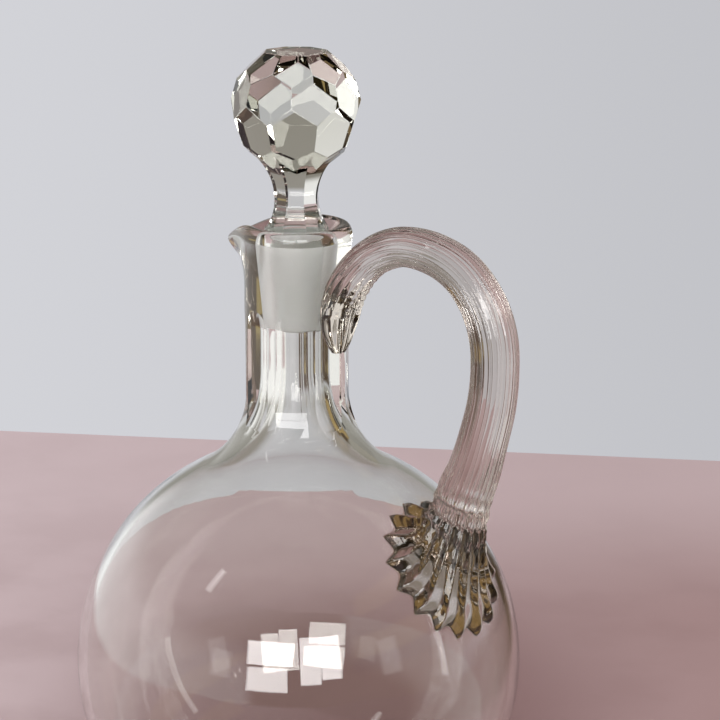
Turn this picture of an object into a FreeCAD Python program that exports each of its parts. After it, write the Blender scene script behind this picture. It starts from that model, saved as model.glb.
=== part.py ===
import FreeCAD, Part
import math
import os

# Blown and cut glass jug with an applied handle and a loose ground stopper.
# Millimetres, +Z up. The origin is the centre of the flat base on the jug's axis,
# the handle stands over +X and the pouring lip points to -X.

# Globe
globe_radius = 70.0
globe_wall = 2.8
base_radius = 33.0
base_floor = 6.5
floor_fillet = 20.0
pontil_radius = 19.0
pontil_depth = 1.4

# Neck and its slice-cut panels
neck_radius = 16.2
neck_length = 56.05
shoulder_fillet = 22.5
throat_fillet = 28.6
panel_count = 8
panel_turn = 29.0
panel_depth = 0.8
panel_top_drop = 32.25
panel_wheel_radius = 30.0
panel_foot_drop = 5.5
panel_foot_radius = 3.5

# Mouth, pouring lip and ground seat
lip_height = 19.0
lip_radius = 17.2
lip_edge = 3.3
rim_roll = 2.2
rim_roll_height = 3.6
spout_reach = 27.0
spout_nose = 4.0
spout_channel = 20.5
spout_droop = 7.0
spout_dip_start = 5.5
spout_root = 13.6
dish_depth = 4.2
dish_land = 0.6
seat_length = 27.4
seat_clearance = 0.06

# Stopper
plug_top_radius = 8.2
plug_tip_radius = 7.2
plug_tip_chamfer = 0.6
plug_shoulder_drop = 3.4
collar_radius = 9.9
collar_edge = 0.7
collar_drop = 1.35
stem_apothem = 6.5
stem_waist_rise = 7.75
stem_upper_sweep = 19.8
stem_lower_sweep = 15.9
ball_radius = 19.8
ball_rise = 36.15
table_height = 17.1
facet_count = 8
stopper_turn = 32.3

# Handle
flute_count = 16
handle_reach = 72.3
handle_top_drop = 2.45
rod_diameter = 14.8
pad_width = 17.0
shell_radius = 22.6
shell_latitude = 36.0

# How far cutting tools run past what they cut
overrun = 2.0

# Places worked out from the sizes above
axis = FreeCAD.Vector(0, 0, 1)
globe_z = math.sqrt(globe_radius ** 2 - base_radius ** 2)
inner_radius = globe_radius - globe_wall
shoulder_x = neck_radius + shoulder_fillet
shoulder_z = globe_z + math.sqrt((globe_radius + shoulder_fillet) ** 2 - shoulder_x ** 2)
rim_z = shoulder_z + neck_length
dish_z = rim_z - dish_depth
seat_z = dish_z - seat_length
plug_top_z = rim_z - plug_shoulder_drop
plug_end_z = seat_z - plug_tip_chamfer
collar_z = rim_z - collar_drop
bore_radius = plug_tip_radius + seat_clearance
throat_x = bore_radius + throat_fillet
throat_z = globe_z + math.sqrt((inner_radius + throat_fillet) ** 2 - throat_x ** 2)
stem_z = rim_z + stem_waist_rise
ball_z = rim_z + ball_rise


def point(radius, z):
    return FreeCAD.Vector(radius, 0, z)


def line(start, end):
    return Part.LineSegment(start, end).toShape()


def arc(start, middle, end):
    return Part.Arc(start, middle, end).toShape()


def on_arc(centre, radius, degrees):
    angle = math.radians(degrees)
    return point(centre.x + radius * math.cos(angle), centre.z + radius * math.sin(angle))


def turned(shape, degrees):
    shape.rotate(FreeCAD.Vector(0, 0, 0), axis, degrees)
    return shape


def revolved(edges):
    face = Part.Face(Part.Wire(edges))
    return face.revolve(FreeCAD.Vector(0, 0, 0), axis, 360)


# Arc of a profile about its own centre, between two angles in degrees
def turned_arc(centre, radius, start, end):
    middle = on_arc(centre, radius, (start + end) / 2)
    return arc(on_arc(centre, radius, start), middle, on_arc(centre, radius, end))


def direction(centre, target):
    return math.degrees(math.atan2(target.z - centre.z, target.x - centre.x))


# Jug body: globe, neck, panels, lip

def globe_and_neck():
    centre = point(0, globe_z)
    shoulder = point(shoulder_x, shoulder_z)
    base_edge = direction(centre, point(base_radius, 0))
    shoulder_angle = direction(centre, shoulder)
    lip_start = point(neck_radius, rim_z - lip_height)
    edges = [
        line(point(0, 0), point(base_radius, 0)),
        turned_arc(centre, globe_radius, base_edge, shoulder_angle),
        turned_arc(shoulder, shoulder_fillet, shoulder_angle - 180, -180),
        line(point(neck_radius, shoulder_z), lip_start),
        line(lip_start, point(0, lip_start.z)),
        line(point(0, lip_start.z), point(0, 0)),
    ]
    return revolved(edges)


# Plan of the mouth: a circle about the axis drawn out to a rounded nose at -X
def outline(radius, reach, nose, z):
    nose_centre = reach - nose
    tangent = math.acos((radius - nose) / nose_centre)

    def around(middle, size, angle):
        return FreeCAD.Vector(-middle - size * math.cos(angle), size * math.sin(angle), z)

    heel = around(0, radius, math.pi)
    left = around(0, radius, tangent)
    right = around(0, radius, -tangent)
    nose_left = around(nose_centre, nose, tangent)
    nose_right = around(nose_centre, nose, -tangent)
    half = (math.pi + tangent) / 2
    return Part.Wire([
        arc(heel, around(0, radius, half), left),
        line(left, nose_left),
        arc(nose_left, around(nose_centre, nose, 0), nose_right),
        line(nose_right, right),
        arc(right, around(0, radius, -half), heel),
    ])


# Levels of the spout: height, reach, width of its nose
spout_level_shares = [
    (0.00, -0.10, 2.30),
    (0.18, 0.13, 2.10),
    (0.36, 0.52, 1.65),
    (0.47, 0.80, 1.40),
    (0.59, 1.00, 1.20),
    (0.80, 1.03, 1.10),
    (1.10, 1.03, 1.10),
]
dish_level_shares = [
    (0.00, 0.00, 0.00, 0.55),
    (0.50, 0.62, 0.60, 0.75),
    (1.00, 1.00, 1.00, 0.90),
    (1.46, 1.25, 1.50, 1.00),
]


# Round mouth: a slight flare and a rolled rim, left standing past the rim to be trimmed
def lip():
    start_z = rim_z - lip_height
    roll_z = rim_z - rim_roll_height
    rise = roll_z - start_z
    flare = lip_radius - neck_radius
    sweep = (rise ** 2 + flare ** 2) / (2 * flare)
    crest = lip_radius - rim_roll
    half_way = math.sqrt(1 / 2)
    edges = [
        turned_arc(point(neck_radius + sweep, start_z), sweep, 180, 180 - math.degrees(math.asin(rise / sweep))),
        arc(point(lip_radius, roll_z), point(crest + half_way * rim_roll, roll_z + half_way * rim_roll_height),
            point(crest, rim_z)),
        line(point(crest, rim_z), point(crest, rim_z + overrun)),
        line(point(crest, rim_z + overrun), point(0, rim_z + overrun)),
        line(point(0, rim_z + overrun), point(0, start_z)),
        line(point(0, start_z), point(neck_radius, start_z)),
    ]
    return revolved(edges)


# Pouring spout, rooted inside the round mouth and left standing past the rim to be trimmed
def spout():
    wires = []
    for height, reach, nose in spout_level_shares:
        wires.append(outline(
            spout_root,
            neck_radius + reach * (spout_reach - neck_radius),
            spout_nose * nose,
            rim_z - lip_height + height * lip_height))
    return Part.makeLoft(wires, True, False)


# Hollow of the mouth above the ground seat, with the channel of the spout
def dish():
    low_radius = plug_top_radius + seat_clearance + dish_land
    high_radius = lip_radius - lip_edge
    wires = []
    for height, flare, reach, nose in dish_level_shares:
        wires.append(outline(
            low_radius + flare * (high_radius - low_radius),
            spout_channel + reach * (spout_reach - spout_channel),
            spout_nose * nose,
            dish_z + height * dish_depth))
    return Part.makeLoft(wires, True, False)


# Curve along which the rim sinks towards the spout: its centre and radius
def dip_curve():
    run = spout_reach - spout_dip_start
    radius = (run ** 2 + spout_droop ** 2) / (2 * spout_droop)
    return point(-spout_dip_start, rim_z - radius), radius


# What the rim leaves out: everything above it, sinking along the spout
def above_rim():
    centre, radius = dip_curve()
    end_x = -neck_radius - spout_level_shares[-1][1] * (spout_reach - neck_radius) - overrun
    end_angle = math.degrees(math.acos((end_x - centre.x) / radius))
    end = on_arc(centre, radius, end_angle)
    far_x = lip_radius + overrun
    high = rim_z + lip_height
    edges = [
        turned_arc(centre, radius, end_angle, 90),
        line(point(centre.x, rim_z), point(far_x, rim_z)),
        line(point(far_x, rim_z), point(far_x, high)),
        line(point(far_x, high), point(end.x, high)),
        line(point(end.x, high), end),
    ]
    return slab(edges, lip_radius + overrun)


# Solid of a flat profile in the XZ plane, as thick to both sides of it as half_width
def slab(edges, half_width):
    face = Part.Face(Part.Wire(edges))
    face.translate(FreeCAD.Vector(0, -half_width, 0))
    return face.extrude(FreeCAD.Vector(0, half_width + half_width, 0))


# Inside of the jug up to the top of the ground seat
def hollow():
    centre = point(0, globe_z)
    throat = point(throat_x, throat_z)
    corner_x = math.sqrt((inner_radius - floor_fillet) ** 2 - (globe_z - base_floor - floor_fillet) ** 2)
    corner = point(corner_x, base_floor + floor_fillet)
    corner_angle = direction(centre, corner)
    throat_angle = direction(centre, throat)
    seat_low = point(bore_radius, seat_z)
    seat_high = point(plug_top_radius + seat_clearance, dish_z)
    edges = [
        line(point(0, base_floor), point(corner_x, base_floor)),
        turned_arc(corner, floor_fillet, -90, corner_angle),
        turned_arc(centre, inner_radius, corner_angle, throat_angle),
        turned_arc(throat, throat_fillet, throat_angle - 180, -180),
        line(point(bore_radius, throat_z), seat_low),
        line(seat_low, seat_high),
        line(seat_high, point(0, dish_z)),
        line(point(0, dish_z), point(0, base_floor)),
    ]
    return revolved(edges)


# Tool for one slice-cut panel, facing +X: flat across, running out in an arch at both ends
def panel_cutter():
    flat = neck_radius - panel_depth
    top = point(flat + panel_wheel_radius, rim_z - panel_top_drop)
    foot = point(flat + panel_foot_radius, shoulder_z - panel_foot_drop)
    rise = math.degrees(math.acos(1 - (panel_depth + overrun) / panel_wheel_radius))
    top_end = on_arc(top, panel_wheel_radius, 180 - rise)
    foot_end = on_arc(foot, panel_foot_radius, 270)
    far = foot_end.x + overrun
    edges = [
        turned_arc(top, panel_wheel_radius, 180 - rise, 180),
        line(point(flat, top.z), point(flat, foot.z)),
        turned_arc(foot, panel_foot_radius, 180, 270),
        line(foot_end, point(far, foot_end.z)),
        line(point(far, foot_end.z), point(far, top_end.z)),
        line(point(far, top_end.z), top_end),
    ]
    return slab(edges, neck_radius)


# Outside of the jug, still solid glass and not yet trimmed at the rim
def jug_outside():
    body = globe_and_neck().fuse(lip()).fuse(spout()).removeSplitter()
    for number in range(panel_count):
        body = body.cut(turned(panel_cutter(), panel_turn + number * 360 / panel_count))
    return body


# Shallow hollow ground under the base where the pontil rod was
def pontil():
    radius = (pontil_radius ** 2 + pontil_depth ** 2) / (2 * pontil_depth)
    return Part.makeSphere(radius, FreeCAD.Vector(0, 0, pontil_depth - radius))


def jug_body(outside):
    return outside.cut(hollow()).cut(dish()).cut(above_rim()).cut(pontil())


# Handle: a fluted rod drawn from a shell on the globe to a leaf on the neck
# Stations from the tip of the leaf down to the waist: out from the neck, up from the shell,
# width across, thickness
leaf_and_loop_shares = [
    (-0.011, 0.628, 0.14, 0.23),
    (-0.005, 0.665, 0.41, 0.34),
    (0.002, 0.722, 0.75, 0.49),
    (0.020, 0.784, 0.98, 0.65),
    (0.061, 0.846, 0.97, 0.74),
    (0.135, 0.908, 0.88, 0.80),
    (0.255, 0.966, 0.80, 0.825),
    (0.428, 1.000, 0.765, 0.83),
    (0.629, 0.988, 0.79, 0.87),
    (0.799, 0.940, 0.825, 0.93),
    (0.923, 0.857, 0.847, 0.97),
    (0.988, 0.758, 0.87, 1.00),
    (1.000, 0.654, 0.87, 1.00),
    (0.982, 0.545, 0.88, 1.01),
    (0.936, 0.437, 0.905, 1.03),
]
# Stations of the flare, from the waist to under the shell's rim: down the globe, off the globe,
# radius, turn from the rod's direction to the globe's normal
flare_shares = [
    (-0.90, 1.140, 0.358, 0.0),
    (-0.69, 0.805, 0.390, 0.1),
    (-0.46, 0.513, 0.434, 0.4),
    (-0.24, 0.280, 0.549, 0.8),
    (-0.07, 0.115, 0.735, 1.0),
    (-0.01, 0.018, 0.895, 1.0),
    (0.00, -0.097, 1.000, 1.0),
    (0.00, -0.243, 1.020, 1.0),
]
flute_depth_share = 0.05
shell_flute_depth_share = 0.16


# Closed wire of concave flutes meeting in sharp ridges, round a centre in the XZ plane
def fluted_section(centre, heading, across, thick, depth_share):
    outward = FreeCAD.Vector(math.sin(heading), 0, -math.cos(heading))
    sideways = FreeCAD.Vector(0, 1, 0)

    def place(turn, size_share):
        angle = 2 * math.pi * turn / flute_count
        return centre + outward * (thick * size_share * math.cos(angle)) + sideways * (
            across * size_share * math.sin(angle))

    edges = []
    for number in range(flute_count):
        edges.append(arc(place(number, 1), place(number + 1 / 2, 1 - depth_share), place(number + 1, 1)))
    return Part.Wire(edges)


def handle_stations():
    latitude = math.radians(shell_latitude)
    normal = FreeCAD.Vector(math.cos(latitude), 0, math.sin(latitude))
    downhill = FreeCAD.Vector(math.sin(latitude), 0, -math.cos(latitude))
    root = point(0, globe_z) + normal * globe_radius
    top_z = rim_z - handle_top_drop
    stations = []
    for out, up, across, thick in leaf_and_loop_shares:
        centre = point(neck_radius + out * (handle_reach - neck_radius), root.z + up * (top_z - root.z))
        stations.append((centre, pad_width * across / 2, rod_diameter * thick / 2, flute_depth_share, 0))
    for down, off, radius, turn in flare_shares:
        centre = root + downhill * (shell_radius * down) + normal * (shell_radius * off)
        size = shell_radius * radius
        depth = flute_depth_share + turn * (shell_flute_depth_share - flute_depth_share)
        stations.append((centre, size, size, depth, turn))
    return stations, math.pi + latitude


def handle(outside):
    stations, inward = handle_stations()
    wires = []
    for number, (centre, across, thick, depth, turn) in enumerate(stations):
        before = stations[max(number - 1, 0)][0]
        after = stations[min(number + 1, len(stations) - 1)][0]
        heading = math.atan2(after.z - before.z, after.x - before.x) % (2 * math.pi)
        heading = heading + turn * (inward - heading)
        wires.append(fluted_section(centre, heading, across, thick, depth))
    rod = Part.makeLoft(wires, True, False)
    return rod.cut(outside)


# Stopper: faceted ball, fluted stem, collar and ground plug
# Rows of facets: latitude, turn in steps, distance of the facets from the ball's centre
facet_row_shares = [
    (46.6, 0, 0.933),
    (15.2, 1 / 2, 0.919),
    (-17.7, 0, 0.921),
    (-49.2, 1 / 2, 0.983),
]
stem_top_share = 0.66


def ball():
    start = FreeCAD.Vector(0, 0, -ball_radius)
    solid = Part.makeCylinder(ball_radius + ball_radius, ball_radius + table_height, start)
    side = 4 * ball_radius
    for latitude, step, distance in facet_row_shares:
        for number in range(facet_count):
            corner = FreeCAD.Vector(-side / 2, -side / 2, ball_radius * distance)
            cutter = Part.makeBox(side, side, side, corner)
            cutter.rotate(FreeCAD.Vector(0, 0, 0), FreeCAD.Vector(0, 1, 0), 90 - latitude)
            solid = solid.cut(turned(cutter, (number + step) * 360 / facet_count))
    solid.translate(FreeCAD.Vector(0, 0, ball_z))
    return solid


# Stem with a flat, waisted flute on each side, cut from below the ball to the collar
def stem():
    top_z = ball_z - stem_top_share * ball_radius
    upper = point(stem_apothem + stem_upper_sweep, stem_z)
    lower = point(stem_apothem + stem_lower_sweep, stem_z)
    rise = math.degrees(math.asin((top_z - stem_z) / stem_upper_sweep))
    fall = math.degrees(math.asin((stem_z - collar_z) / stem_lower_sweep))
    top = on_arc(upper, stem_upper_sweep, 180 - rise)
    middle = on_arc(upper, stem_upper_sweep, 180 - rise / 2)
    foot = on_arc(lower, stem_lower_sweep, 180 + fall)
    ankle = on_arc(lower, stem_lower_sweep, 180 + fall / 2)
    waist = point(stem_apothem, stem_z)

    def mirrored(place):
        return point(-place.x, place.z)

    edges = [
        arc(top, middle, waist),
        arc(waist, ankle, foot),
        line(foot, mirrored(foot)),
        arc(mirrored(foot), mirrored(ankle), mirrored(waist)),
        arc(mirrored(waist), mirrored(middle), mirrored(top)),
        line(mirrored(top), top),
    ]
    solid = slab(edges, ball_radius)
    for number in range(1, facet_count // 2):
        solid = solid.common(turned(slab(edges, ball_radius), number * 360 / facet_count))
    return solid


# Round work: the collar and the ground plug under the stem
def plug():
    end_radius = plug_tip_radius - plug_tip_chamfer
    edges = [
        line(point(0, collar_z), point(collar_radius, collar_z)),
        line(point(collar_radius, collar_z), point(collar_radius, collar_z - collar_edge)),
        line(point(collar_radius, collar_z - collar_edge), point(plug_top_radius, plug_top_z)),
        line(point(plug_top_radius, plug_top_z), point(plug_top_radius, dish_z)),
        line(point(plug_top_radius, dish_z), point(plug_tip_radius, seat_z)),
        line(point(plug_tip_radius, seat_z), point(end_radius, plug_end_z)),
        line(point(end_radius, plug_end_z), point(0, plug_end_z)),
        line(point(0, plug_end_z), point(0, collar_z)),
    ]
    return revolved(edges)


def stopper():
    solid = plug().fuse(stem()).fuse(ball())
    return turned(solid.removeSplitter(), stopper_turn)


def export(node, shape):
    print(node, shape.isValid(), len(shape.Solids), "solid", round(shape.Volume / 1000, 2), "cm3")
    shape.exportStep("parts/" + node + ".step")


os.makedirs("parts", exist_ok=True)
outside = jug_outside()
export("jug_body", jug_body(outside))
export("handle", handle(outside))
export("stopper", stopper())
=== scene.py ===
import math
import bmesh
import bpy
from mathutils import Matrix, Vector


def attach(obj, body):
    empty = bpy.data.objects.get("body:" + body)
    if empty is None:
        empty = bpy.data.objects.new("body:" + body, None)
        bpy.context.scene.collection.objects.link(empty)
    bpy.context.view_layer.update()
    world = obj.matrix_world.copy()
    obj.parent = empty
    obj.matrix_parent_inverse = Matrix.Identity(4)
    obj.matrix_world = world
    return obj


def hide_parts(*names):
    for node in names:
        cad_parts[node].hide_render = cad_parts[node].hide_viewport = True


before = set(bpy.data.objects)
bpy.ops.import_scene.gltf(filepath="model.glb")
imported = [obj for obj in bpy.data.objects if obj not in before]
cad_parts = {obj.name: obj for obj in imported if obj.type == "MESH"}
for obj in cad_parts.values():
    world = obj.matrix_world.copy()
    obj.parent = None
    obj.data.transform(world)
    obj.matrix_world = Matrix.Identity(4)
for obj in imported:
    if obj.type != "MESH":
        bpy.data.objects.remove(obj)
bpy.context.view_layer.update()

print("frame loaded:", sorted(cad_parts))

# Meshes are drawn in millimetres, as the glass was measured, and brought to metres once
toMetres = 0.001
mergeGap = 0.001  # points nearer to each other than this are one
planeGap = 0.0001  # points nearer to a cutting plane than this lie on it


# Small tools for drawing a profile with one point: x is the radius, z the height

def penArc(bm, tip, centre, degrees, steps):  # swings the tip about a centre, anticlockwise when positive
    made = bmesh.ops.spin(bm, geom=[tip], cent=(centre[0], 0, centre[1]), axis=(0, -1, 0), dvec=(0, 0, 0),
                          angle=math.radians(degrees), steps=steps, use_merge=False, use_duplicate=False)
    return next(e for e in made["geom_last"] if isinstance(e, bmesh.types.BMVert))


def penLine(bm, tip, end, steps=1):  # straight run to an end point, drawn out step by step
    start = tip.co.copy()
    goal = Vector((end[0], 0, end[1]))
    for step in range(1, steps + 1):
        tip = bmesh.ops.extrude_vert_indiv(bm, verts=[tip])["verts"][0]
        tip.co = start.lerp(goal, step / steps)
    return tip


def penOval(bm, tip, centre, wide, tall, start, end, steps):  # part of an oval, between two angles
    for step in range(1, steps + 1):
        angle = math.radians(start + (end - start) * step / steps)
        tip = bmesh.ops.extrude_vert_indiv(bm, verts=[tip])["verts"][0]
        tip.co = (centre[0] + wide * math.cos(angle), 0, centre[1] + tall * math.sin(angle))
    return tip


def turnAbout(bm, angle):  # turns all that is drawn about the upright axis
    bmesh.ops.rotate(bm, cent=(0, 0, 0), verts=bm.verts, matrix=Matrix.Rotation(angle, 3, "Z"))


def spinRound(bm, steps):  # spins the profile once about the upright axis and closes the skin
    bmesh.ops.spin(bm, geom=bm.verts[:] + bm.edges[:], cent=(0, 0, 0), axis=(0, 0, 1), dvec=(0, 0, 0),
                   angle=2 * math.pi, steps=steps, use_merge=True, use_duplicate=False)
    bmesh.ops.remove_doubles(bm, verts=bm.verts, dist=mergeGap)
    bmesh.ops.recalc_face_normals(bm, faces=bm.faces)


def spinFlats(bm, sides, degrees):  # the same with flat sides: the profile gives the distance to each flat
    corner = 1 / math.cos(math.pi / sides)
    for v in bm.verts:
        v.co.x *= corner
    turnAbout(bm, math.radians(degrees) + math.pi / sides)
    spinRound(bm, sides)


# Small sums that the pieces share

def heading(start, end):  # direction from one profile point to another, in degrees
    return math.degrees(math.atan2(end[1] - start[1], end[0] - start[0]))


def held(value):  # kept between 0 and 1
    return min(max(value, 0), 1)


def easeBetween(low, high, value):  # 0 below low, 1 above high, smooth between
    t = held((value - low) / (high - low))
    return t * t * (3 - 2 * t)


def swellBetween(low, high, value):  # 0 at both ends of a stretch and beyond, 1 in its middle
    return math.sin(math.pi * held((value - low) / (high - low)))


def smoothRow(rows, place):  # values of a table at a place along its first column, on a smooth curve
    last = len(rows) - 1
    at = 0
    while at < last - 1 and rows[at + 1][0] <= place:
        at += 1
    low, high = rows[at], rows[at + 1]
    before, after = rows[max(at - 1, 0)], rows[min(at + 2, last)]
    span = high[0] - low[0]
    t = held((place - low[0]) / span)
    found = []
    for k in range(1, len(low)):
        slopeLow = (high[k] - before[k]) / (high[0] - before[0]) * span
        slopeHigh = (after[k] - low[k]) / (after[0] - low[0]) * span
        found.append((2 * t**3 - 3 * t**2 + 1) * low[k] + (t**3 - 2 * t**2 + t) * slopeLow
                     + (3 * t**2 - 2 * t**3) * high[k] + (t**3 - t**2) * slopeHigh)
    return found


# From drawn meshes to pieces of the jug

def combined(base, tool, operation, materials):  # exact boolean of two bmeshes, left in a new bmesh
    holders = []
    for bm in (base, tool):
        mesh = bpy.data.meshes.new("cutting")
        bm.to_mesh(mesh)
        bm.free()
        for material in materials:
            mesh.materials.append(material)
        holder = bpy.data.objects.new("cutting", mesh)
        bpy.context.scene.collection.objects.link(holder)
        holders.append(holder)
    cut = holders[0].modifiers.new("cut", "BOOLEAN")
    cut.operation = operation
    cut.solver = "EXACT"
    cut.object = holders[1]
    shaped = holders[0].evaluated_get(bpy.context.evaluated_depsgraph_get())
    made = bmesh.new()
    made.from_mesh(shaped.to_mesh())
    for holder in holders:
        bpy.data.objects.remove(holder)
    return made


def makePiece(name, bm, materials, body, node):
    bmesh.ops.scale(bm, vec=(toMetres, toMetres, toMetres), verts=bm.verts)
    for face in bm.faces:
        face.smooth = True
    mesh = bpy.data.meshes.new(name)
    bm.to_mesh(mesh)
    bm.free()
    for material in materials:
        mesh.materials.append(material)
    piece = bpy.data.objects.new(name, mesh)
    bpy.context.scene.collection.objects.link(piece)
    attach(piece, body)
    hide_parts(node)
    print(name, "has", len(mesh.vertices), "vertices and", len(mesh.polygons), "faces")
    return piece


# Small tools for materials: those named for a node give back the socket that carries its result

def startMaterial(name):
    material = bpy.data.materials.new(name)
    material.use_nodes = True
    tree = material.node_tree
    place = tree.nodes.new("ShaderNodeTexCoord").outputs["Object"]
    return material, tree, tree.nodes["Principled BSDF"], place


def feed(tree, socket, value):  # a link from another node, or a fixed value
    if isinstance(value, bpy.types.NodeSocket):
        tree.links.new(value, socket)
    else:
        socket.default_value = value


def noiseNode(tree, place, scale, detail):
    found = tree.nodes.new("ShaderNodeTexNoise")
    found.inputs["Scale"].default_value = scale
    found.inputs["Detail"].default_value = detail
    tree.links.new(place, found.inputs["Vector"])
    return found.outputs["Fac"]


def bumpNode(tree, height, distance, below=None):
    found = tree.nodes.new("ShaderNodeBump")
    found.inputs["Strength"].default_value = 1
    found.inputs["Distance"].default_value = distance
    tree.links.new(height, found.inputs["Height"])
    if below:
        tree.links.new(below, found.inputs["Normal"])
    return found.outputs["Normal"]


def blendNode(tree, factor, first, second):
    found = tree.nodes.new("ShaderNodeMix")
    found.data_type = "RGBA"
    tree.links.new(factor, found.inputs["Factor"])
    feed(tree, found.inputs["A"], first)
    feed(tree, found.inputs["B"], second)
    return found.outputs["Result"]


def alongNode(tree, place, direction):  # how far a place or a ray lies along a direction
    found = tree.nodes.new("ShaderNodeVectorMath")
    found.operation = "DOT_PRODUCT"
    tree.links.new(place, found.inputs[0])
    found.inputs[1].default_value = direction
    return found.outputs["Value"]


def mathNode(tree, operation, first, second):
    found = tree.nodes.new("ShaderNodeMath")
    found.operation = operation
    feed(tree, found.inputs[0], first)
    feed(tree, found.inputs[1], second)
    return found.outputs["Value"]


def timesNode(tree, first, second):
    return mathNode(tree, "MULTIPLY", first, second)


def rangeNode(tree, value, limits, results):  # first result up to the first limit, second past the second
    found = tree.nodes.new("ShaderNodeMapRange")
    found.interpolation_type = "SMOOTHSTEP"
    tree.links.new(value, found.inputs["Value"])
    for name, setting in zip(("From Min", "From Max", "To Min", "To Max"), (*limits, *results)):
        feed(tree, found.inputs[name], setting)
    return found.outputs["Result"]


def bandNode(tree, value, band):  # 1 between two limits, soft outside them
    low, high, soft = band
    rise = rangeNode(tree, value, (low - soft, low), (0, 1))
    fall = rangeNode(tree, value, (high, high + soft), (1, 0))
    return timesNode(tree, rise, fall)


# Glass: clear and faintly wavy where it was blown, grey where plug and seat are ground

glassLook = {
    "ior": 1.52, "absorbColour": (0.90, 0.90, 0.85, 1), "absorbDensity": 32.0,
    "streakScale": 102.0, "streakDetail": 3,
    "waveScale": 34.0, "waveHeight": 0.00012, "waveDetail": 1,
    "cordScale": 150.0, "cordHeight": 0.00001, "cordDetail": 1,
    "groundColour": (0.965, 0.985, 0.97, 1),
    "grainScale": 2600.0, "grainHeight": 0.00002, "grainDetail": 2,
}
clearLooks = {
    "bodyGlass": {"tint": (0.99, 0.988, 0.98, 1), "streak": (0.97, 0.97, 0.955, 1), "wave": 1.0},
    "handleGlass": {"tint": (0.84, 0.775, 0.75, 1), "streak": (0.80, 0.74, 0.71, 1), "wave": 0.2},
    "stopperGlass": {"tint": (0.95, 0.945, 0.935, 1), "streak": (0.93, 0.93, 0.91, 1), "wave": 0.05},
}
groundLooks = {
    "plugGlass": {"roughness": 0.6, "transmission": 0.5},
    "seatGlass": {"roughness": 0.3, "transmission": 0.35},
}


def absorbLight(tree):  # thick glass takes a little light away
    absorb = tree.nodes.new("ShaderNodeVolumeAbsorption")
    absorb.inputs["Color"].default_value = glassLook["absorbColour"]
    absorb.inputs["Density"].default_value = glassLook["absorbDensity"]
    tree.links.new(absorb.outputs["Volume"], tree.nodes["Material Output"].inputs["Volume"])


def clearGlass(name):
    look = clearLooks[name]
    material, tree, shader, place = startMaterial(name)
    shader.inputs["Transmission Weight"].default_value = 1
    shader.inputs["IOR"].default_value = glassLook["ior"]
    shader.inputs["Roughness"].default_value = 0
    streaks = noiseNode(tree, place, glassLook["streakScale"], glassLook["streakDetail"])
    tree.links.new(blendNode(tree, streaks, look["tint"], look["streak"]), shader.inputs["Base Color"])
    wave = noiseNode(tree, place, glassLook["waveScale"], glassLook["waveDetail"])
    cord = noiseNode(tree, place, glassLook["cordScale"], glassLook["cordDetail"])
    cordBump = bumpNode(tree, cord, glassLook["cordHeight"] * look["wave"])
    waveBump = bumpNode(tree, wave, glassLook["waveHeight"] * look["wave"], cordBump)
    tree.links.new(waveBump, shader.inputs["Normal"])
    absorbLight(tree)
    return material


def groundGlass(name):
    look = groundLooks[name]
    material, tree, shader, place = startMaterial(name)
    shader.inputs["Transmission Weight"].default_value = look["transmission"]
    shader.inputs["IOR"].default_value = glassLook["ior"]
    shader.inputs["Base Color"].default_value = glassLook["groundColour"]
    shader.inputs["Roughness"].default_value = look["roughness"]
    grain = noiseNode(tree, place, glassLook["grainScale"], glassLook["grainDetail"])
    tree.links.new(bumpNode(tree, grain, glassLook["grainHeight"]), shader.inputs["Normal"])
    absorbLight(tree)
    return material


bodyGlass = clearGlass("bodyGlass")
handleGlass = clearGlass("handleGlass")
stopperGlass = clearGlass("stopperGlass")
plugGlass = groundGlass("plugGlass")
seatGlass = groundGlass("seatGlass")
print("glass mixed")


# Jug body: one profile from the pontil mark up the outside, over the rim and down the inside

jug = {
    "globe": 70.0, "wall": 2.8, "base": 33.0, "baseRound": 3.0, "floor": 6.5, "floorRound": 20.0,
    "pontil": 19.0, "pontilDepth": 1.4,
    "neck": 16.2, "neckLength": 53.216, "shoulder": 27.0, "throat": 38.0,
    "panels": 8, "panelTurn": 29.0, "panelDepth": 0.8, "panelDrop": 32.25, "panelWheel": 30.0,
    "panelFoot": 21.3,
    "panelExit": 3.0,  # how far the wheel has left the flat where the cut ends, in panel depths
    "lipHeight": 19.0, "lip": 17.2, "roll": 2.2, "rollHeight": 3.6, "innerRoll": 1.6, "rollEnd": 138.0,
    "spoutPull": 8.0, "spoutNose": 4.4, "spoutDroop": 5.8,
    "spoutRise": 0.85, "spoutBend": 1.5,  # share of the lip's height with the full pull, power of the droop
    "dishDepth": 4.2, "dishLand": 0.6, "seatLength": 27.4, "seat": 8.26, "bore": 6.66, "groundDrop": 1.1,
    "columns": 300, "sharpAngle": 11.0,
}

globeZ = math.sqrt(jug["globe"]**2 - jug["base"]**2)
innerGlobe = jug["globe"] - jug["wall"]
shoulderZ = globeZ + math.sqrt((jug["globe"] + jug["shoulder"])**2 - (jug["neck"] + jug["shoulder"])**2)
throatZ = globeZ + math.sqrt((innerGlobe + jug["throat"])**2 - (jug["bore"] + jug["throat"])**2)
rimZ = shoulderZ + jug["neckLength"]
lipZ = rimZ - jug["lipHeight"]
dishZ = rimZ - jug["dishDepth"]
seatZ = dishZ - jug["seatLength"]
groundZ = dishZ - jug["groundDrop"]
groundEdge = jug["seat"] + (jug["bore"] - jug["seat"]) * jug["groundDrop"] / jug["seatLength"]
panelFlat = jug["neck"] - jug["panelDepth"]
panelTopZ = rimZ - jug["panelDrop"]
rollZ = rimZ - jug["rollHeight"]
crest = jug["lip"] - jug["roll"]
landEdge = jug["seat"] + jug["dishLand"]


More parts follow.
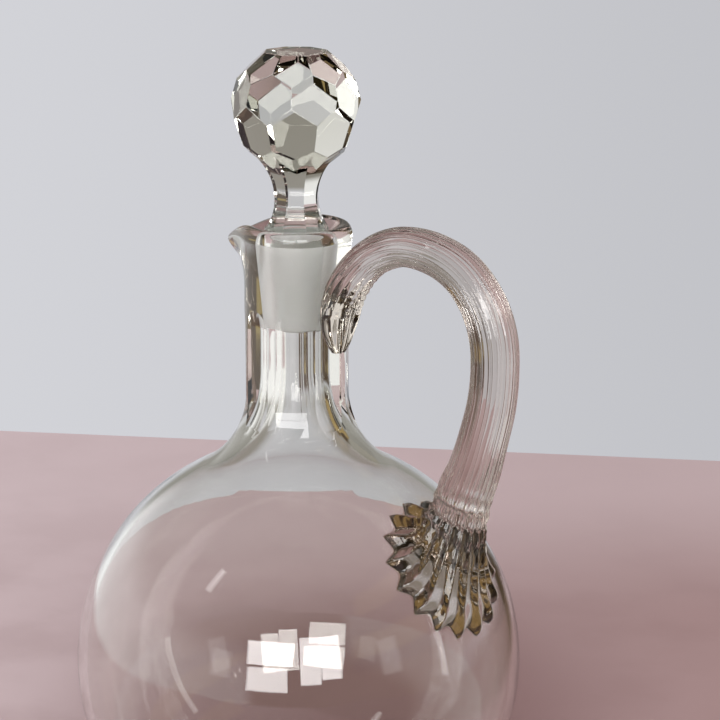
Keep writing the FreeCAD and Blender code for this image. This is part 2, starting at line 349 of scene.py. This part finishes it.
def jugProfile(bm):
    pontilRound = (jug["pontil"]**2 + jug["pontilDepth"]**2) / (2 * jug["pontilDepth"])
    centre = (0, globeZ)
    footX = math.sqrt((jug["globe"] - jug["baseRound"])**2 - (globeZ - jug["baseRound"])**2)
    foot = (footX, jug["baseRound"])
    shoulder = (jug["neck"] + jug["shoulder"], shoulderZ)
    throat = (jug["bore"] + jug["throat"], throatZ)
    cornerZ = jug["floor"] + jug["floorRound"]
    corner = (math.sqrt((innerGlobe - jug["floorRound"])**2 - (globeZ - cornerZ)**2), cornerZ)
    shoulderAngle = heading(centre, shoulder)
    throatAngle = heading(centre, throat)
    footAngle = heading(centre, foot)
    cornerAngle = heading(centre, corner)
    flare = jug["lip"] - jug["neck"]
    rise = rollZ - lipZ
    sweep = (rise**2 + flare**2) / (2 * flare)
    innerRollZ = rimZ - jug["innerRoll"]

    tip = bm.verts.new((0, 0, jug["pontilDepth"]))
    tip = penArc(bm, tip, (0, jug["pontilDepth"] - pontilRound),
                 -math.degrees(math.asin(jug["pontil"] / pontilRound)), steps=8)
    tip = penLine(bm, tip, (foot[0], 0), steps=4)
    tip = penArc(bm, tip, foot, 90 + footAngle, steps=5)
    tip = penArc(bm, tip, centre, shoulderAngle - footAngle, steps=56)
    tip = penArc(bm, tip, shoulder, -shoulderAngle, steps=40)
    tip = penLine(bm, tip, (jug["neck"], lipZ), steps=10)
    tip = penArc(bm, tip, (jug["neck"] + sweep, lipZ), -math.degrees(math.asin(rise / sweep)), steps=14)
    tip = penOval(bm, tip, (crest, rollZ), jug["roll"], jug["rollHeight"], 0, 90, steps=20)
    tip = penOval(bm, tip, (crest, innerRollZ), jug["roll"], jug["innerRoll"], 90, jug["rollEnd"], steps=8)
    tip = penLine(bm, tip, (landEdge, dishZ), steps=8)
    tip = penLine(bm, tip, (jug["seat"], dishZ), steps=3)
    tip = penLine(bm, tip, (groundEdge, groundZ))
    tip = penLine(bm, tip, (jug["bore"], seatZ), steps=4)
    tip = penLine(bm, tip, (jug["bore"], throatZ), steps=4)
    tip = penArc(bm, tip, throat, throatAngle, steps=18)
    tip = penArc(bm, tip, centre, cornerAngle - throatAngle, steps=44)
    tip = penArc(bm, tip, corner, -90 - cornerAngle, steps=14)
    tip = penLine(bm, tip, (0, jug["floor"]), steps=6)


def panelBarrel():  # eight-sided solid that leaves flats on the neck and clears the rest of the jug
    bm = bmesh.new()
    clear = 2 * jug["globe"]  # well outside the jug
    aboveZ = 2 * rimZ
    footX = panelFlat + jug["panelFoot"]
    footZ = shoulderZ - jug["panelFoot"]
    topRun = math.degrees(math.acos(1 - jug["panelExit"] * jug["panelDepth"] / jug["panelWheel"]))
    tip = bm.verts.new((0, 0, -clear))
    tip = penLine(bm, tip, (clear, -clear))
    tip = penLine(bm, tip, (clear, footZ))
    tip = penLine(bm, tip, (footX, footZ))
    tip = penArc(bm, tip, (footX, shoulderZ), -90, steps=40)
    tip = penLine(bm, tip, (panelFlat, panelTopZ))
    tip = penArc(bm, tip, (panelFlat + jug["panelWheel"], panelTopZ), -topRun, steps=16)
    tip = penLine(bm, tip, (clear, tip.co.z))
    tip = penLine(bm, tip, (clear, aboveZ))
    tip = penLine(bm, tip, (0, aboveZ))
    spinFlats(bm, jug["panels"], jug["panelTurn"])
    return bm


def mouthRadius(turn, radius, reach, nose):  # plan of the mouth: a circle drawn out to a rounded nose
    turn = abs(turn)
    middle = reach - nose
    lean = math.acos((radius - nose) / middle)
    noseEdge = math.atan2(nose * math.sin(lean), middle + nose * math.cos(lean))
    if turn >= lean:
        return radius
    if turn > noseEdge:
        return radius / math.cos(turn - lean)
    return middle * math.cos(turn) + math.sqrt(nose**2 - (middle * math.sin(turn))**2)


def pinchSpout(bm):  # draws one side of the soft mouth out and down
    reach = crest + jug["spoutPull"]
    for v in bm.verts:
        radius = v.co.xy.length
        if v.co.z < lipZ or radius < landEdge:
            continue
        turn = math.atan2(v.co.y, -v.co.x)
        drawn = (mouthRadius(turn, crest, reach, jug["spoutNose"]) - crest) / jug["spoutPull"]
        if radius > crest - mergeGap:
            share = (v.co.z - lipZ) / jug["lipHeight"]
            pull, drop = easeBetween(0, jug["spoutRise"], share), share**jug["spoutBend"]
        else:
            pull = drop = (radius - landEdge) / (crest - landEdge)
        grown = 1 + jug["spoutPull"] * drawn * pull / radius
        v.co.x *= grown
        v.co.y *= grown
        v.co.z -= jug["spoutDroop"] * drawn * drop


def jugBody():
    glasses = [bodyGlass, seatGlass]
    bm = bmesh.new()
    jugProfile(bm)
    spinRound(bm, jug["columns"])
    for face in bm.faces:
        middle = face.calc_center_median()
        if seatZ < middle.z < groundZ and middle.xy.length < jug["seat"]:
            face.material_index = 1  # the ground seat
    bm = combined(bm, panelBarrel(), "INTERSECT", glasses)
    pinchSpout(bm)
    piece = makePiece("jugBody", bm, glasses, "jug", "jug_body")
    piece.data.set_sharp_from_angle(angle=math.radians(jug["sharpAngle"]))


jugBody()


# Handle: a ribbed rod drawn from a shell on the globe to a leaf on the neck
# Starts and ends are numbers of stations from the leaf's tip, and depths are shares of the rod's size

rod = {
    "flutes": 16, "perFlute": 12, "rings": 400,
    "reach": 72.3, "topDrop": 2.45, "thick": 14.8, "wide": 17.0,
    "shell": 22.6, "shellLatitude": 36.0,
    "fluteDepth": 0.056, "shellFluteDepth": 0.14, "crispness": 0.6, "ridge": 3.4,
    "leafStart": 2.6, "leafEnd": 4.8, "leafChannels": 3, "leafDepth": 0.34,
    "crimpStart": 2.2, "crimpEnd": 5.6, "crimps": 2.3, "crimpHeight": 0.42,
    "waistStart": 15.8, "waistEnd": 18.2, "waistRings": 1.5, "waistDepth": 0.07,
    "sunkInGlobe": 0.45, "sunkInNeck": 1.4,
    "tipShare": 0.012, "capShare": 0.03,
    "joinGap": 0.002, "smoothing": 0.3,
}
# From the leaf's tip down to the waist, in shares: out from the neck, up from the shell, width, thickness
loopRows = [
    (-0.011, 0.628, 0.32, 0.28), (-0.005, 0.665, 0.66, 0.46), (0.002, 0.722, 0.95, 0.66),
    (0.020, 0.784, 1.04, 0.78), (0.061, 0.846, 1.00, 0.82), (0.135, 0.908, 0.88, 0.82),
    (0.255, 0.966, 0.80, 0.825), (0.428, 1.000, 0.765, 0.83), (0.629, 0.988, 0.79, 0.87),
    (0.799, 0.940, 0.825, 0.93), (0.923, 0.857, 0.847, 0.97), (0.988, 0.758, 0.87, 1.00),
    (1.000, 0.654, 0.87, 1.00), (0.982, 0.545, 0.88, 1.01), (0.936, 0.437, 0.905, 1.03),
]
# From the waist to under the shell's rim, in shares: down the globe, off it, radius, turn to its normal
flareRows = [
    (-0.90, 1.140, 0.358, 0.0), (-0.69, 0.805, 0.390, 0.1), (-0.46, 0.513, 0.434, 0.4),
    (-0.24, 0.280, 0.549, 0.8), (-0.07, 0.115, 0.735, 1.0), (-0.01, 0.018, 0.895, 1.0),
    (0.00, -0.097, 1.000, 1.0), (0.00, -0.243, 1.020, 1.0),
]


def rodStations():  # number, x, z, half width, half thickness, flute depth and turn to the globe
    latitude = math.radians(rod["shellLatitude"])
    normal = Vector((math.cos(latitude), 0, math.sin(latitude)))
    downhill = Vector((math.sin(latitude), 0, -math.cos(latitude)))
    root = Vector((0, 0, globeZ)) + normal * jug["globe"]
    topZ = rimZ - rod["topDrop"]
    stations = []
    for out, up, across, thick in loopRows:
        stations.append((len(stations), jug["neck"] + out * (rod["reach"] - jug["neck"]),
                         root.z + up * (topZ - root.z), rod["wide"] * across / 2, rod["thick"] * thick / 2,
                         rod["fluteDepth"], 0))
    for down, off, radius, turn in flareRows:
        centre = root + downhill * (rod["shell"] * down) + normal * (rod["shell"] * off)
        size = rod["shell"] * radius
        depth = rod["fluteDepth"] + math.sqrt(turn) * (rod["shellFluteDepth"] - rod["fluteDepth"])
        stations.append((len(stations), centre.x, centre.z, size, size, depth, turn))
    return stations


# One ring: centre, outward direction, half width, half thickness, flute depth, turn to the globe
def rodRing(stations, place):
    x, z, across, thick, depth, turn = smoothRow(stations, place)
    near = 0.05
    ahead = smoothRow(stations, place + near)
    behind = smoothRow(stations, place - near)
    course = math.atan2(ahead[1] - behind[1], ahead[0] - behind[0]) % (2 * math.pi)
    inward = math.pi + math.radians(rod["shellLatitude"])
    onGlobe = held(turn)
    course += onGlobe * (inward - course)
    outward = Vector((math.sin(course), 0, -math.cos(course)))
    return Vector((x, 0, z)), outward, across, thick, depth, onGlobe


# Marks of the tools on a ring: its share in the leaf, the fold pressed into it there, the pinch at the waist
def toolMarks(place):
    leaf = 1 - easeBetween(rod["leafStart"], rod["leafEnd"], place)
    fold = (1 + math.cos(2 * math.pi * rod["crimps"] * place)) / 2
    crimp = -rod["crimpHeight"] * swellBetween(rod["crimpStart"], rod["crimpEnd"], place) * fold
    ring = (1 - math.cos(2 * math.pi * rod["waistRings"] * (place - rod["waistStart"]))) / 2
    waist = 1 - rod["waistDepth"] * swellBetween(rod["waistStart"], rod["waistEnd"], place) * ring
    return leaf, crimp, waist


def settle(co):  # glass that would lie inside the jug's wall is pressed on to it
    fromGlobe = co - Vector((0, 0, globeZ))
    deepest = jug["globe"] - rod["sunkInGlobe"]
    if fromGlobe.length < deepest:
        co = Vector((0, 0, globeZ)) + fromGlobe.normalized() * deepest
    neckDeep = jug["neck"] - rod["sunkInNeck"]
    radius = co.xy.length
    if radius < neckDeep and co.z > shoulderZ:
        co = Vector((co.x * neckDeep / radius, co.y * neckDeep / radius, co.z))
    return co


def ribbedHandle():
    bm = bmesh.new()
    around = rod["flutes"] * rod["perFlute"]
    bmesh.ops.create_grid(bm, x_segments=around, y_segments=rod["rings"], size=1)
    stations = rodStations()
    last = len(stations) - 1
    rings = {}
    for v in bm.verts:  # the grid is rolled up: y runs along the rod, x round it
        along = round((v.co.y + 1) / 2, 5)  # rounded, so that a ring has one key
        turn = (v.co.x + 1) / 2
        if along not in rings:
            place = last * held((along - rod["tipShare"]) / (1 - rod["tipShare"] - rod["capShare"]))
            rings[along] = rodRing(stations, place) + toolMarks(place)
        centre, outward, across, thick, depth, onGlobe, leaf, crimp, waist = rings[along]
        shrink = math.sqrt(max(1 - (1 - min(along / rod["tipShare"], 1))**2, 0))
        shrink *= min((1 - along) / rod["capShare"], 1)
        flute = (turn * rod["flutes"]) % 1
        angle = 2 * math.pi * turn
        channel = ((math.sin(angle) + 1) / 2 * rod["leafChannels"]) % 1
        front = max(math.cos(angle), 0)
        ridged = 1 - abs(2 * flute - 1)**rod["ridge"]
        scalloped = rod["crispness"] * (1 - (2 * flute - 1)**2)
        scalloped += (1 - rod["crispness"]) * (1 - math.cos(2 * math.pi * flute)) / 2
        hollow = ridged + onGlobe * (scalloped - ridged)
        hollow *= depth * (1 - leaf)
        size = (1 - hollow) * shrink * waist
        deep = 1 - rod["leafDepth"] * leaf * (1 - (2 * channel - 1)**2) * math.sqrt(front)
        co = centre + outward * (thick * size * deep * math.cos(angle) + crimp * front)
        co += Vector((0, across * size * math.sin(angle), 0))
        v.co = settle(co)
    bmesh.ops.remove_doubles(bm, verts=bm.verts, dist=rod["joinGap"])
    bmesh.ops.smooth_vert(bm, verts=bm.verts, factor=rod["smoothing"],
                          use_axis_x=True, use_axis_y=True, use_axis_z=True)
    bmesh.ops.recalc_face_normals(bm, faces=bm.faces)
    makePiece("ribbedHandle", bm, [handleGlass], "jug", "handle")


ribbedHandle()


# Stopper: facet-cut ball, eight-sided stem, collar and ground plug

stopper = {
    "ball": 19.8, "ballRise": 36.15, "table": 16.7, "sides": 8, "turn": 32.3, "edge": 0.12,
    "stem": 6.5, "waistRise": 7.75, "upperSweep": 19.8, "lowerSweep": 15.9, "stemTop": 0.66,
    "collar": 9.9, "collarEdge": 0.7, "collarDrop": 1.35, "shoulderDrop": 3.4,
    "plugTop": 8.2, "plugTip": 6.6, "tipChamfer": 0.6, "plugSteps": 128,
    "levelFace": 0.9,  # a face of the plug that looks up or down by more than this is left clear
    "sharpAngle": 14.0,
}
# Rows of facets: latitude, step round the ball, distance from its middle
facetRows = [(46.6, 0, 0.933), (15.2, 0.5, 0.919), (-17.7, 0, 0.921), (-49.2, 0.5, 0.983)]
ballZ = rimZ + stopper["ballRise"]
waistZ = rimZ + stopper["waistRise"]
collarZ = rimZ - stopper["collarDrop"]


def cutFacet(bm, place, normal):  # takes off what lies beyond a plane and closes the cut
    cut = bmesh.ops.bisect_plane(bm, geom=bm.verts[:] + bm.edges[:] + bm.faces[:], dist=planeGap,
                                 plane_co=place, plane_no=normal, clear_outer=True)
    edges = [e for e in cut["geom_cut"] if isinstance(e, bmesh.types.BMEdge)]
    bmesh.ops.contextual_create(bm, geom=edges)


def facetBall():
    bm = bmesh.new()
    bmesh.ops.create_cube(bm, size=3 * stopper["ball"])  # larger than the ball on every side
    cutFacet(bm, (0, 0, stopper["table"]), (0, 0, 1))
    for latitude, step, distance in facetRows:
        lift = math.radians(latitude)
        out = math.cos(lift)
        for number in range(stopper["sides"]):
            turn = 2 * math.pi * (number + step) / stopper["sides"]
            normal = Vector((out * math.cos(turn), out * math.sin(turn), math.sin(lift)))
            cutFacet(bm, normal * (distance * stopper["ball"]), normal)
    bmesh.ops.bevel(bm, geom=bm.edges[:], offset=stopper["edge"], offset_type="OFFSET", affect="EDGES",
                    segments=1, profile=0.5, material=-1)
    bmesh.ops.translate(bm, vec=(0, 0, ballZ), verts=bm.verts)
    bmesh.ops.recalc_face_normals(bm, faces=bm.faces)
    return bm


def cutStem():
    bm = bmesh.new()
    topZ = ballZ - stopper["stemTop"] * stopper["ball"]
    rise = math.degrees(math.asin((topZ - waistZ) / stopper["upperSweep"]))
    fall = math.degrees(math.asin((waistZ - collarZ) / stopper["lowerSweep"]))
    upper = (stopper["stem"] + stopper["upperSweep"], waistZ)
    lower = (stopper["stem"] + stopper["lowerSweep"], waistZ)
    footX = lower[0] - stopper["lowerSweep"] * math.cos(math.radians(fall))
    footZ = collarZ - stopper["collarEdge"] / 2
    tip = bm.verts.new((0, 0, footZ))
    tip = penLine(bm, tip, (footX, footZ))
    tip = penLine(bm, tip, (footX, collarZ))
    tip = penArc(bm, tip, lower, -fall, steps=12)
    tip = penArc(bm, tip, upper, -rise, steps=20)
    tip = penLine(bm, tip, (0, topZ))
    spinFlats(bm, stopper["sides"], 0)
    return bm


def groundPlug():
    bm = bmesh.new()
    tipZ = seatZ - stopper["tipChamfer"]
    edgeRound = stopper["collarEdge"] / 2
    collarX = stopper["collar"] - edgeRound
    tip = bm.verts.new((0, 0, collarZ))
    tip = penLine(bm, tip, (collarX, collarZ))
    tip = penArc(bm, tip, (collarX, collarZ - edgeRound), -180, steps=6)
    tip = penLine(bm, tip, (stopper["plugTop"], rimZ - stopper["shoulderDrop"]))
    tip = penLine(bm, tip, (stopper["plugTop"], dishZ))
    tip = penLine(bm, tip, (groundEdge - jug["seat"] + stopper["plugTop"], groundZ))
    tip = penLine(bm, tip, (stopper["plugTip"], seatZ))
    tip = penLine(bm, tip, (stopper["plugTip"] - stopper["tipChamfer"], tipZ))
    tip = penLine(bm, tip, (0, tipZ))
    spinRound(bm, stopper["plugSteps"])
    for face in bm.faces:
        if face.calc_center_median().z < groundZ and abs(face.normal.z) < stopper["levelFace"]:
            face.material_index = 1  # the ground side
    return bm


def cutStopper():
    glasses = [stopperGlass, plugGlass]
    bm = combined(groundPlug(), cutStem(), "UNION", glasses)
    bm = combined(bm, facetBall(), "UNION", glasses)
    turnAbout(bm, math.radians(stopper["turn"]))
    piece = makePiece("cutStopper", bm, glasses, "stopper", "stopper")
    piece.data.set_sharp_from_angle(angle=math.radians(stopper["sharpAngle"]))


cutStopper()


# Stage: camera, pale floor, plain surroundings and soft boxes, in metres

view = {
    "azimuth": 35.0, "pitch": 14.5, "distance": 0.928, "aimHeight": 0.1585, "aimRight": 0.0194,
    "lens": 150.0, "sensor": 36.0,
}
azimuth = math.radians(view["azimuth"])
rightward = Vector((math.cos(azimuth), math.sin(azimuth), 0))
cameraSide = Vector((math.sin(azimuth), -math.cos(azimuth), 0))  # level direction from the jug to the camera


def photoCamera():
    camera = bpy.data.objects.new("photoCamera", bpy.data.cameras.new("photoCamera"))
    camera.data.lens = view["lens"]
    camera.data.sensor_width = view["sensor"]
    pitch = math.radians(view["pitch"])
    back = cameraSide * math.cos(pitch) + Vector((0, 0, math.sin(pitch)))
    aim = rightward * view["aimRight"] + Vector((0, 0, view["aimHeight"]))
    camera.location = aim + back * view["distance"]
    camera.rotation_mode = "QUATERNION"
    camera.rotation_quaternion = back.to_track_quat("Z", "Y")
    bpy.context.scene.collection.objects.link(camera)
    bpy.context.scene.camera = camera


# Floor colours, with painted shade to the right and far off, and a painted shadow of the jug
floorLook = {
    "left": (0.67, 0.53, 0.535, 1), "right": (0.40, 0.26, 0.25, 1), "across": (-0.22, 0.18),
    "back": (0.70, 0.56, 0.565, 1), "backReach": (0.20, 0.40), "backShare": 0.6,
    "shade": (0.30, 0.182, 0.175, 1), "shadeReach": (0.07, 0.20),
    "shadeBeside": 0.02, "shadeBehind": 0.10, "shadeNarrow": 1.6,
    "far": (0.16, 0.10, 0.065, 1), "farReach": (0.15, 0.20), "farLean": 0.145,
    "mottleScale": 16.0, "mottleDetail": 6, "mottleReach": (0.40, 0.66), "mottleShare": 0.22,
    "roughness": 0.9, "specular": 0.1,
    "size": 1.1, "behind": 0.45, "skew": -8.6,
}


def floorTone(tree, place):  # paler to the left and behind, with painted shade to the right and a painted shadow round the jug
    beside = alongNode(tree, place, rightward)
    behind = alongNode(tree, place, -cameraSide)
    # painted shade: the floor darkens from the left to the right
    across = rangeNode(tree, beside, floorLook["across"], (0, 1))
    tone = blendNode(tree, across, floorLook["left"], floorLook["right"])
    mottle = noiseNode(tree, place, floorLook["mottleScale"], floorLook["mottleDetail"])
    mottle = rangeNode(tree, mottle, floorLook["mottleReach"], (0, floorLook["mottleShare"]))
    tone = blendNode(tree, mottle, tone, floorLook["shade"])
    back = rangeNode(tree, behind, floorLook["backReach"], (0, floorLook["backShare"]))
    tone = blendNode(tree, back, tone, floorLook["back"])
    # painted shadow of the jug: an oval patch a little behind it and to its right
    offset = tree.nodes.new("ShaderNodeCombineXYZ")
    offsetX = mathNode(tree, "SUBTRACT", beside, floorLook["shadeBeside"])
    offsetY = mathNode(tree, "SUBTRACT", behind, floorLook["shadeBehind"])
    tree.links.new(timesNode(tree, offsetX, floorLook["shadeNarrow"]), offset.inputs["X"])
    tree.links.new(offsetY, offset.inputs["Y"])
    away = tree.nodes.new("ShaderNodeVectorMath")
    away.operation = "LENGTH"
    tree.links.new(offset.outputs["Vector"], away.inputs[0])
    shade = rangeNode(tree, away.outputs["Value"], floorLook["shadeReach"], (1, 0))
    tone = blendNode(tree, shade, tone, floorLook["shade"])
    # painted shade seen only in the glass: far to the right the floor turns dark brown
    outer = alongNode(tree, place, rightward + cameraSide * floorLook["farLean"])
    far = rangeNode(tree, outer, floorLook["farReach"], (0, 1))
    path = tree.nodes.new("ShaderNodeLightPath")
    bent = mathNode(tree, "SUBTRACT", 1, path.outputs["Is Camera Ray"])  # only the glass shows the far floor
    return blendNode(tree, timesNode(tree, bent, far), tone, floorLook["far"])


def paleFloor():
    material, tree, shader, place = startMaterial("floorTone")
    tree.links.new(floorTone(tree, place), shader.inputs["Base Color"])
    shader.inputs["Roughness"].default_value = floorLook["roughness"]
    shader.inputs["Specular IOR Level"].default_value = floorLook["specular"]
    bm = bmesh.new()
    size = floorLook["size"]
    bmesh.ops.create_grid(bm, x_segments=1, y_segments=1, size=size / 2)
    bmesh.ops.translate(bm, vec=(0, floorLook["behind"] - size / 2, 0), verts=bm.verts)
    turnAbout(bm, azimuth + math.radians(floorLook["skew"]))
    mesh = bpy.data.meshes.new("paleFloor")
    bm.to_mesh(mesh)
    bm.free()
    mesh.materials.append(material)
    floor = bpy.data.objects.new("paleFloor", mesh)
    bpy.context.scene.collection.objects.link(floor)


# Colours of the surroundings, and where they lie: parts of a ray to the right, up and towards the camera
aroundLook = {
    "sky": (0.74, 0.74, 0.76, 1),
    "wallLeft": (0.65, 0.655, 0.69, 1), "wallRight": (0.54, 0.545, 0.575, 1), "wallAcross": (-0.16, 0.16),
    "front": (0.22, 0.155, 0.085, 1), "frontReach": (-0.1, 0.3),  # on the camera's side
    "upper": (0.31, 0.30, 0.27, 1), "upperReach": (-0.05, 0.07),
    "dim": (0.075, 0.058, 0.042, 1), "dimFacing": (-0.3, 0.5), "dimStart": (0.62, 0.16), "dimFade": 0.20,
    "lowReach": (0.15, 0.45),
    "brown": (0.075, 0.050, 0.030, 1), "brownAcross": (0.32, 0.94, 0.07), "brownUp": (-0.10, 0.0),
    "amber": (0.46, 0.36, 0.15, 1), "amberAcross": (0.40, 0.58, 0.05), "amberUp": (-0.235, -0.20, 0.02),
    "amberShare": 0.6,
    "sideAcross": (0.52, 0.97, 0.08), "sideUp": (0.18, 0.80, 0.06),
    "bronze": (0.36, 0.26, 0.11, 1), "bronzeBands": [(0.28, 0.42, 0.03), (0.60, 0.70, 0.03)],
    "glow": (1.0, 1.0, 1.0, 1), "glowReach": (-0.50, -0.34),
}


def bandColours(tree, wall, lateral, upward, facing):  # what clear glass shows: the wall among soft bands
    ahead = rangeNode(tree, facing, aroundLook["frontReach"], (1, 0))
    low = rangeNode(tree, upward, aroundLook["lowReach"], (1, 0))
    seen = blendNode(tree, ahead, aroundLook["front"], wall)
    upper = timesNode(tree, rangeNode(tree, upward, aroundLook["upperReach"], (0, 1)), ahead)
    seen = blendNode(tree, upper, seen, aroundLook["upper"])
    dimStart = rangeNode(tree, facing, aroundLook["dimFacing"], aroundLook["dimStart"])
    dimEnd = mathNode(tree, "ADD", dimStart, aroundLook["dimFade"])
    dim = rangeNode(tree, upward, (dimStart, dimEnd), (0, 1))
    seen = blendNode(tree, dim, seen, aroundLook["dim"])
    brown = timesNode(tree, timesNode(tree, bandNode(tree, lateral, aroundLook["brownAcross"]), low), ahead)
    brown = timesNode(tree, brown, rangeNode(tree, upward, aroundLook["brownUp"], (1, 0)))
    seen = blendNode(tree, brown, seen, aroundLook["brown"])
    amber = timesNode(tree, bandNode(tree, lateral, aroundLook["amberAcross"]),
                      bandNode(tree, upward, aroundLook["amberUp"]))
    amber = timesNode(tree, amber, timesNode(tree, ahead, aroundLook["amberShare"]))
    seen = blendNode(tree, amber, seen, aroundLook["amber"])
    side = timesNode(tree, bandNode(tree, lateral, aroundLook["sideAcross"]),
                     bandNode(tree, upward, aroundLook["sideUp"]))
    seen = blendNode(tree, side, seen, aroundLook["brown"])
    for band in aroundLook["bronzeBands"]:
        bronze = timesNode(tree, side, bandNode(tree, upward, band))
        seen = blendNode(tree, bronze, seen, aroundLook["bronze"])
    glow = timesNode(tree, rangeNode(tree, lateral, aroundLook["glowReach"], (1, 0)), low)
    return blendNode(tree, glow, seen, aroundLook["glow"])


def backgroundNode(tree, colour):
    found = tree.nodes.new("ShaderNodeBackground")
    feed(tree, found.inputs["Color"], colour)
    return found.outputs["Background"]


def eitherNode(tree, factor, first, second):  # one shader or another
    found = tree.nodes.new("ShaderNodeMixShader")
    tree.links.new(factor, found.inputs["Fac"])
    tree.links.new(first, found.inputs[1])
    tree.links.new(second, found.inputs[2])
    return found.outputs["Shader"]


def surroundings():  # a pale wall for the camera, soft bands for the glass, an even sky for the light
    world = bpy.data.worlds.new("studio")
    world.use_nodes = True
    bpy.context.scene.world = world
    tree = world.node_tree
    tree.nodes.clear()
    ray = tree.nodes.new("ShaderNodeTexCoord").outputs["Generated"]
    lateral = alongNode(tree, ray, rightward)
    upward = alongNode(tree, ray, (0, 0, 1))
    facing = alongNode(tree, ray, cameraSide)
    across = rangeNode(tree, lateral, aroundLook["wallAcross"], (0, 1))
    wall = blendNode(tree, across, aroundLook["wallLeft"], aroundLook["wallRight"])
    bands = bandColours(tree, wall, lateral, upward, facing)
    path = tree.nodes.new("ShaderNodeLightPath")
    inGlass = mathNode(tree, "MAXIMUM", path.outputs["Is Glossy Ray"], path.outputs["Is Transmission Ray"])
    unscattered = mathNode(tree, "LESS_THAN", path.outputs["Diffuse Depth"], 1)
    inGlass = timesNode(tree, inGlass, unscattered)  # a ray that a dull surface has scattered sees the sky
    shown = eitherNode(tree, inGlass, backgroundNode(tree, aroundLook["sky"]), backgroundNode(tree, bands))
    shown = eitherNode(tree, path.outputs["Is Camera Ray"], shown, backgroundNode(tree, wall))
    tree.links.new(shown, tree.nodes.new("ShaderNodeOutputWorld").inputs["Surface"])


# Soft boxes: name, degrees to the right of the camera, degrees up, width, height, radiance
softBoxes = [
    ("leftPaneUpper", -14.0, 20.5, 1.05, 0.52, 7.5),
    ("leftPaneLower", -15.0, 7.2, 0.92, 0.54, 6.6),
    ("rightPaneInner", 7.4, 17.0, 0.46, 1.05, 7.0),
    ("rightPaneOuter", 18.2, 18.0, 0.44, 0.95, 7.5),
    ("leftSlit", -64.0, 46.0, 0.10, 0.50, 4.0),
    ("rightSlit", 80.0, 14.0, 0.09, 1.70, 3.6),
    ("leftFill", -40.0, 12.0, 0.42, 0.55, 0.7),
    ("rightFill", 50.0, 13.0, 0.46, 0.75, 0.8),
]
boxDistance = 2.5


def softLight(name, right, up, width, height, radiance):
    lamp = bpy.data.lights.new(name, "AREA")
    lamp.shape = "RECTANGLE"
    lamp.size = width
    lamp.size_y = height
    lamp.energy = radiance * width * height * math.pi  # watts that give this radiance
    side = Matrix.Rotation(math.radians(right), 3, "Z") @ cameraSide
    outward = side * math.cos(math.radians(up)) + Vector((0, 0, math.sin(math.radians(up))))
    holder = bpy.data.objects.new(name, lamp)
    holder.location = outward * boxDistance + Vector((0, 0, globeZ * toMetres))
    holder.rotation_mode = "QUATERNION"
    holder.rotation_quaternion = outward.to_track_quat("Z", "Y")
    holder.visible_camera = False
    bpy.context.scene.collection.objects.link(holder)


paleFloor()
surroundings()
for box in softBoxes:
    softLight(*box)
photoCamera()
bpy.context.scene.view_settings.view_transform = "Standard"
print("stage set")
